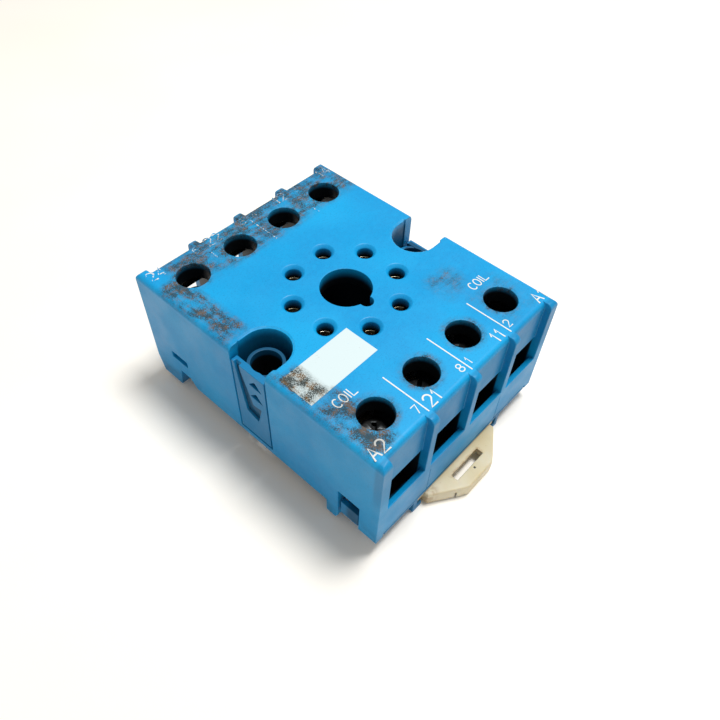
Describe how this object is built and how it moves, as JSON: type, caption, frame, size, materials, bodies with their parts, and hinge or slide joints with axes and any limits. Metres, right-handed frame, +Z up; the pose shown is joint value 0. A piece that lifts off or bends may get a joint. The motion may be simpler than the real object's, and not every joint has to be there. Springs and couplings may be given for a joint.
{
  "type": "octal relay socket",
  "caption": "Flat rail-mount socket for a plug-in relay: keyed octal pin face, box-clamp screw terminals at both ends, screw wells at the sides and a sliding nylon rail clip.",
  "frame": {"origin": "on the axis of the central spigot hole, in the plane where the underside of the base plate rests on the mounting rail", "axes": "+X along the row of terminals, from A2 towards A1; +Y along the socket, from the nylon clip towards the fixed hooks; +Z up out of the pin face"},
  "size_m": [0.0408, 0.055, 0.0238],
  "materials": {
    "blue_polyamide": "satin moulded blue polyamide",
    "natural_nylon": "uncoloured moulded nylon, cream",
    "tinned_brass": "pressed brass strip, tin plated",
    "zinc_plated_steel": "zinc plated steel"
  },
  "bodies": {
    "socket": {"housing": "blue_polyamide", "base_plate": "blue_polyamide", "contact_strip_A2": "tinned_brass", "contact_strip_21": "tinned_brass", "contact_strip_11": "tinned_brass", "contact_strip_A1": "tinned_brass", "contact_strip_24": "tinned_brass", "contact_strip_22": "tinned_brass", "contact_strip_12": "tinned_brass", "contact_strip_14": "tinned_brass", "pin_sleeve_A2": "tinned_brass", "pin_sleeve_21": "tinned_brass", "pin_sleeve_11": "tinned_brass", "pin_sleeve_A1": "tinned_brass", "pin_sleeve_24": "tinned_brass", "pin_sleeve_22": "tinned_brass", "pin_sleeve_12": "tinned_brass", "pin_sleeve_14": "tinned_brass"},
    "clip": {"rail_clip": "natural_nylon"},
    "screw_A2": {"terminal_screw_A2": "zinc_plated_steel"},
    "yoke_A2": {"clamp_yoke_A2": "zinc_plated_steel"},
    "screw_21": {"terminal_screw_21": "zinc_plated_steel"},
    "yoke_21": {"clamp_yoke_21": "zinc_plated_steel"},
    "screw_11": {"terminal_screw_11": "zinc_plated_steel"},
    "yoke_11": {"clamp_yoke_11": "zinc_plated_steel"},
    "screw_A1": {"terminal_screw_A1": "zinc_plated_steel"},
    "yoke_A1": {"clamp_yoke_A1": "zinc_plated_steel"},
    "screw_24": {"terminal_screw_24": "zinc_plated_steel"},
    "yoke_24": {"clamp_yoke_24": "zinc_plated_steel"},
    "screw_22": {"terminal_screw_22": "zinc_plated_steel"},
    "yoke_22": {"clamp_yoke_22": "zinc_plated_steel"},
    "screw_12": {"terminal_screw_12": "zinc_plated_steel"},
    "yoke_12": {"clamp_yoke_12": "zinc_plated_steel"},
    "screw_14": {"terminal_screw_14": "zinc_plated_steel"},
    "yoke_14": {"clamp_yoke_14": "zinc_plated_steel"}
  },
  "joints": [
    {"name": "clip_slide", "type": "slide", "parent": "socket", "child": "clip", "axis": [0, -1, 0], "range_m": [0, 0.003], "stiffness_N_per_m": 1500, "springref_m": -0.001},
    {"name": "yoke_lift_A2", "type": "slide", "parent": "socket", "child": "yoke_A2", "axis": [0, 0, 1], "range_m": [0, 0.005]},
    {"name": "screw_turn_A2", "type": "hinge", "parent": "socket", "child": "screw_A2", "pos_m": [-0.01434, -0.0186, 0.01365], "axis": [0, 0, -1], "range_deg": [0, 3600]},
    {"name": "yoke_lift_21", "type": "slide", "parent": "socket", "child": "yoke_21", "axis": [0, 0, 1], "range_m": [0, 0.005]},
    {"name": "screw_turn_21", "type": "hinge", "parent": "socket", "child": "screw_21", "pos_m": [-0.00478, -0.0186, 0.01365], "axis": [0, 0, -1], "range_deg": [0, 3600]},
    {"name": "yoke_lift_11", "type": "slide", "parent": "socket", "child": "yoke_11", "axis": [0, 0, 1], "range_m": [0, 0.005]},
    {"name": "screw_turn_11", "type": "hinge", "parent": "socket", "child": "screw_11", "pos_m": [0.00478, -0.0186, 0.01365], "axis": [0, 0, -1], "range_deg": [0, 3600]},
    {"name": "yoke_lift_A1", "type": "slide", "parent": "socket", "child": "yoke_A1", "axis": [0, 0, 1], "range_m": [0, 0.005]},
    {"name": "screw_turn_A1", "type": "hinge", "parent": "socket", "child": "screw_A1", "pos_m": [0.01434, -0.0186, 0.01365], "axis": [0, 0, -1], "range_deg": [0, 3600]},
    {"name": "yoke_lift_24", "type": "slide", "parent": "socket", "child": "yoke_24", "axis": [0, 0, 1], "range_m": [0, 0.005]},
    {"name": "screw_turn_24", "type": "hinge", "parent": "socket", "child": "screw_24", "pos_m": [-0.01434, 0.0186, 0.01365], "axis": [0, 0, -1], "range_deg": [0, 3600]},
    {"name": "yoke_lift_22", "type": "slide", "parent": "socket", "child": "yoke_22", "axis": [0, 0, 1], "range_m": [0, 0.005]},
    {"name": "screw_turn_22", "type": "hinge", "parent": "socket", "child": "screw_22", "pos_m": [-0.00478, 0.0186, 0.01365], "axis": [0, 0, -1], "range_deg": [0, 3600]},
    {"name": "yoke_lift_12", "type": "slide", "parent": "socket", "child": "yoke_12", "axis": [0, 0, 1], "range_m": [0, 0.005]},
    {"name": "screw_turn_12", "type": "hinge", "parent": "socket", "child": "screw_12", "pos_m": [0.00478, 0.0186, 0.01365], "axis": [0, 0, -1], "range_deg": [0, 3600]},
    {"name": "yoke_lift_14", "type": "slide", "parent": "socket", "child": "yoke_14", "axis": [0, 0, 1], "range_m": [0, 0.005]},
    {"name": "screw_turn_14", "type": "hinge", "parent": "socket", "child": "screw_14", "pos_m": [0.01434, 0.0186, 0.01365], "axis": [0, 0, -1], "range_deg": [0, 3600]}
  ],
  "couplings": [
    {"joint": "screw_turn_A2", "follows": "yoke_lift_A2", "rad_per_m": 12566},
    {"joint": "screw_turn_21", "follows": "yoke_lift_21", "rad_per_m": 12566},
    {"joint": "screw_turn_11", "follows": "yoke_lift_11", "rad_per_m": 12566},
    {"joint": "screw_turn_A1", "follows": "yoke_lift_A1", "rad_per_m": 12566},
    {"joint": "screw_turn_24", "follows": "yoke_lift_24", "rad_per_m": 12566},
    {"joint": "screw_turn_22", "follows": "yoke_lift_22", "rad_per_m": 12566},
    {"joint": "screw_turn_12", "follows": "yoke_lift_12", "rad_per_m": 12566},
    {"joint": "screw_turn_14", "follows": "yoke_lift_14", "rad_per_m": 12566}
  ]
}
